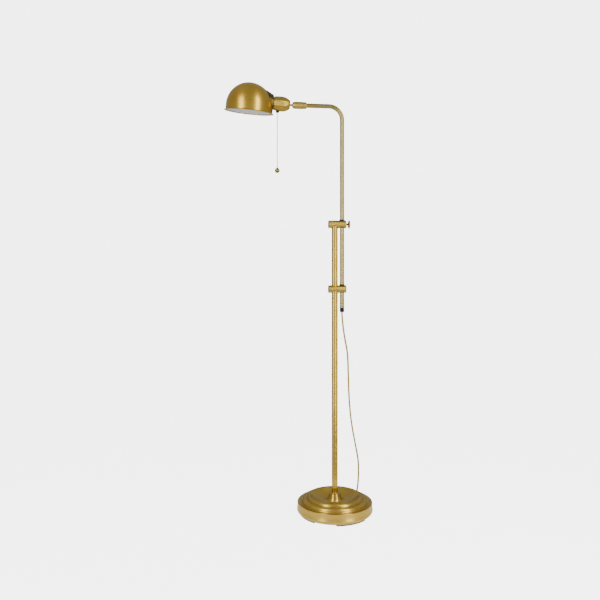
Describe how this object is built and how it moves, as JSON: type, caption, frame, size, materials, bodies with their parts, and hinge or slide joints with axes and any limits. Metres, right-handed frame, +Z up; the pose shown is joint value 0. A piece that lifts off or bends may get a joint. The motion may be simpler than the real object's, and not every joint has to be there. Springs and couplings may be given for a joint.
{
  "type": "pharmacy floor lamp",
  "caption": "Floor lamp with a domed metal shade on a swivel, a bent arm that slides and turns in two crosspieces on a post, a round stepped base, a pull chain and a power cord.",
  "frame": {"origin": "centre of the round base on the floor, under the post", "axes": "+Z up along the post, the arm reaches towards -X and the viewer stands on the -Y side"},
  "size_m": [0.5095, 0.3487, 1.4678],
  "materials": {
    "antique_brass": "brushed antique brass plating, satin",
    "bright_brass": "plain stamped brass",
    "plain_steel": "zinc plated",
    "black_steel": "black oxide",
    "cast_iron": "as cast",
    "rubber": "matte black",
    "black_plastic": "moulded, satin",
    "fibre": "vulcanised fibre",
    "bulb_white": "frosted",
    "bead_nickel": "pale nickel plating",
    "gold_cord": "translucent gold vinyl"
  },
  "bodies": {
    "root": {"foot_pads": "rubber", "base_plate": "plain_steel", "base_weight": "cast_iron", "base_shell": "antique_brass", "base_bolt": "plain_steel", "base_washer": "plain_steel", "riser_tube": "plain_steel", "collar_ring": "antique_brass", "post_foot_plug": "plain_steel", "post_lower": "antique_brass", "post_coupler": "plain_steel", "post_upper": "antique_brass", "upper_crosspiece": "antique_brass", "lower_crosspiece": "antique_brass", "upper_bushing": "black_plastic", "lower_bushing": "black_plastic", "grub_screws": "black_steel", "power_cord": "gold_cord", "cord_hank": "gold_cord", "hank_ties": "black_plastic", "cord_tail": "gold_cord", "plug_body": "gold_cord", "plug_blades": "bright_brass"},
    "knob": {"lock_screw": "black_steel", "lock_knob": "antique_brass"},
    "carriage": {"end_grommet": "rubber"},
    "arm": {"arm_tube": "antique_brass", "inner_lead": "gold_cord", "ferrule_collar": "antique_brass"},
    "ferrule": {"ferrule_body": "antique_brass", "swivel_fork": "antique_brass", "swivel_pin": "plain_steel"},
    "head": {"swivel_tongue": "antique_brass", "socket_cup": "antique_brass", "lampholder": "black_plastic", "insulating_sleeve": "fibre", "screw_shell": "bright_brass", "centre_contact": "bright_brass", "switch_bushing": "black_plastic", "shade": "antique_brass", "retaining_ring": "black_plastic", "bulb_cap": "plain_steel", "bulb_glass": "bulb_white"},
    "switch": {"switch_plunger": "bead_nickel"},
    "link": {"chain_link": "bead_nickel"},
    "chain": {"pull_chain": "bead_nickel", "chain_fob": "antique_brass"}
  },
  "joints": [
    {"name": "arm_slide", "type": "slide", "parent": "root", "child": "carriage", "axis": [0, 0, 1], "range_m": [-0.34, 0.05], "deforming": ["power_cord"]},
    {"name": "arm_swivel", "type": "hinge", "parent": "carriage", "child": "arm", "pos_m": [0.0254, 0, 0.992], "axis": [0, 0, 1], "range_deg": [-170, 170]},
    {"name": "head_roll", "type": "hinge", "parent": "arm", "child": "ferrule", "pos_m": [-0.128, 0, 1.3982], "axis": [1, 0, 0], "range_deg": [-95, 75]},
    {"name": "head_tilt", "type": "hinge", "parent": "ferrule", "child": "head", "pos_m": [-0.149, 0, 1.3982], "axis": [0, 0.9744, 0.225], "range_deg": [-30, 22]},
    {"name": "lock_turn", "type": "hinge", "parent": "root", "child": "knob", "pos_m": [0.047, 0, 0.992], "axis": [1, 0, 0], "range_deg": [0, 360]},
    {"name": "switch_pull", "type": "slide", "parent": "head", "child": "switch", "axis": [-0.0785, 0.2243, -0.9714], "range_m": [0, 0.008], "stiffness_N_per_m": 500},
    {"name": "chain_swing_along", "type": "hinge", "parent": "switch", "child": "link", "pos_m": [-0.19783, 0.00624, 1.37116], "axis": [0, 1, 0], "range_deg": [-25, 25]},
    {"name": "chain_swing_across", "type": "hinge", "parent": "link", "child": "chain", "pos_m": [-0.19783, 0.00624, 1.36826], "axis": [1, 0, 0], "range_deg": [-25, 25]}
  ]
}
